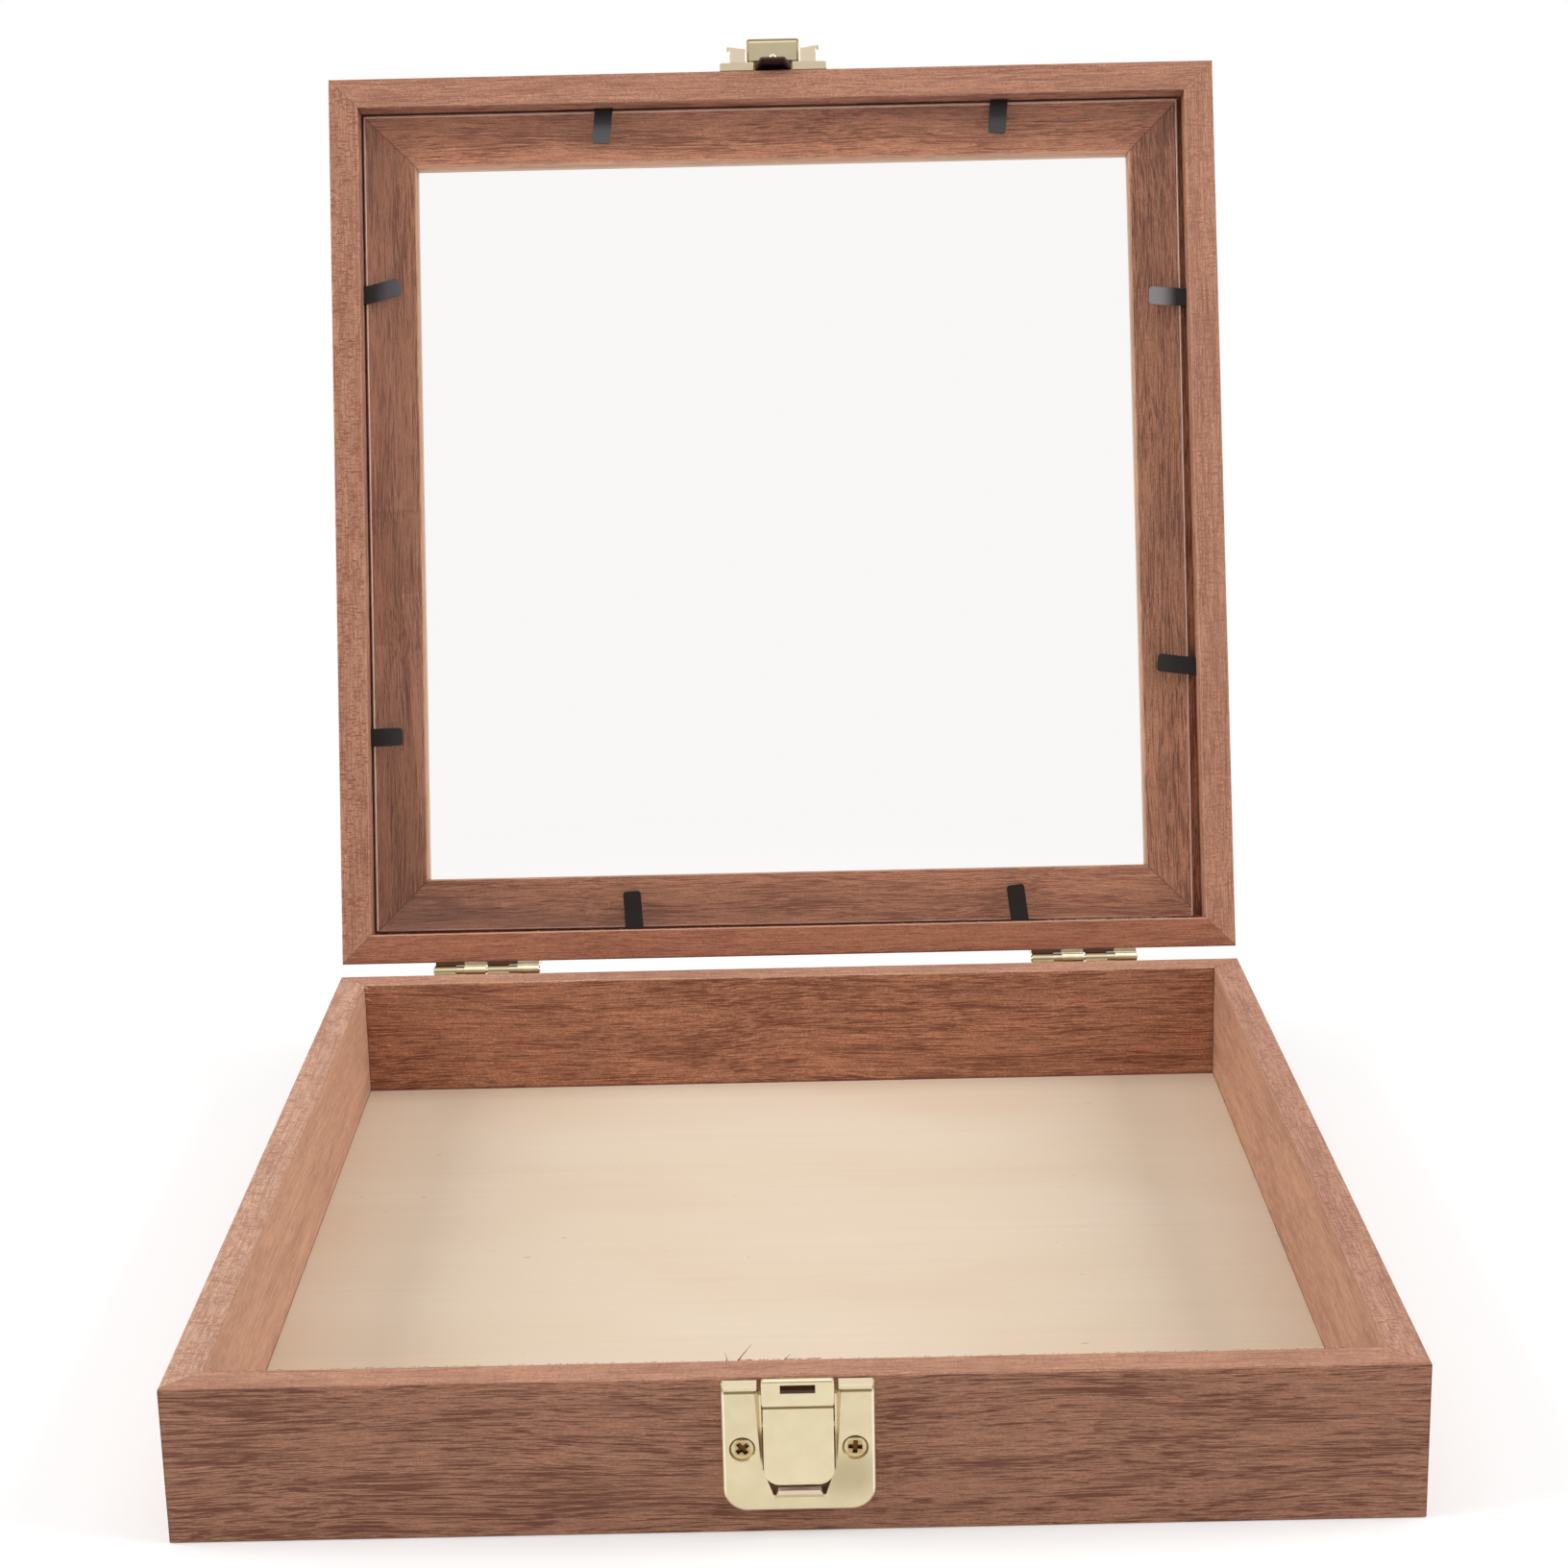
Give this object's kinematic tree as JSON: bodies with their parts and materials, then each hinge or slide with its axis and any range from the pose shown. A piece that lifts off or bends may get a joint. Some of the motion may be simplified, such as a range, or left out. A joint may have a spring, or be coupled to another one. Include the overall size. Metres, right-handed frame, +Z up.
{
  "type": "hinged display box",
  "caption": "Low square wooden display box: open tray, glass-topped lid on two butt hinges and a sprung press latch, shown with its lid open.",
  "frame": {"origin": "middle of the tray's underside, on the surface that it stands on", "axes": "+X to the right seen from the latch side, +Y to the hinge side, +Z up; at rest the lid stands open 107 degrees, against the hinges' stops"},
  "size_m": [0.2, 0.2771, 0.2269],
  "materials": {
    "tray_wood": "bare reddish hardwood, fine open pores, sanded",
    "lid_wood": "bare reddish hardwood, fine open pores, sanded",
    "panel_wood": "pale bare veneer, smooth",
    "glass": "clear, polished",
    "clip_steel": "blackened steel",
    "spring_steel": "dull spring steel",
    "latch_metal": "pale brass plate, satin",
    "hinge_metal": "pale brass plate, satin",
    "screws": "pale brass plate, satin"
  },
  "bodies": {
    "tray": {"tray_wall_front": "tray_wood", "tray_wall_right": "tray_wood", "tray_wall_back": "tray_wood", "tray_wall_left": "tray_wood", "bottom_panel": "panel_wood", "latch_plate": "latch_metal", "latch_screw_left": "screws", "latch_screw_right": "screws", "latch_pin": "hinge_metal", "latch_spring": "spring_steel", "hinge_left_tray_leaf": "hinge_metal", "hinge_left_tray_screws": "screws", "hinge_left_pin": "hinge_metal", "hinge_right_tray_leaf": "hinge_metal", "hinge_right_tray_screws": "screws", "hinge_right_pin": "hinge_metal"},
    "latch_lever": {"latch_lever": "latch_metal"},
    "lid": {"lid_rail_front": "lid_wood", "lid_rail_right": "lid_wood", "lid_rail_back": "lid_wood", "lid_rail_left": "lid_wood", "lid_glass": "glass", "glass_clip_front_left": "clip_steel", "glass_clip_front_right": "clip_steel", "glass_clip_right_front": "clip_steel", "glass_clip_right_back": "clip_steel", "glass_clip_back_left": "clip_steel", "glass_clip_back_right": "clip_steel", "glass_clip_left_front": "clip_steel", "glass_clip_left_back": "clip_steel", "hook_plate": "latch_metal", "hook_tongue": "spring_steel", "hook_screw_left": "screws", "hook_screw_right": "screws", "hinge_left_lid_leaf": "hinge_metal", "hinge_left_lid_screws": "screws", "hinge_right_lid_leaf": "hinge_metal", "hinge_right_lid_screws": "screws"}
  },
  "joints": [
    {"name": "lid_hinge", "type": "hinge", "parent": "tray", "child": "lid", "pos_m": [0, 0.10195, 0.0271], "axis": [1, 0, 0], "range_deg": [0, 107]},
    {"name": "latch_press", "type": "hinge", "parent": "tray", "child": "latch_lever", "pos_m": [0.0005, -0.1015, 0.0195], "axis": [1, 0, 0], "range_deg": [0, 7], "stiffness_Nm_per_rad": 0.15, "springref_deg": -5.73}
  ]
}
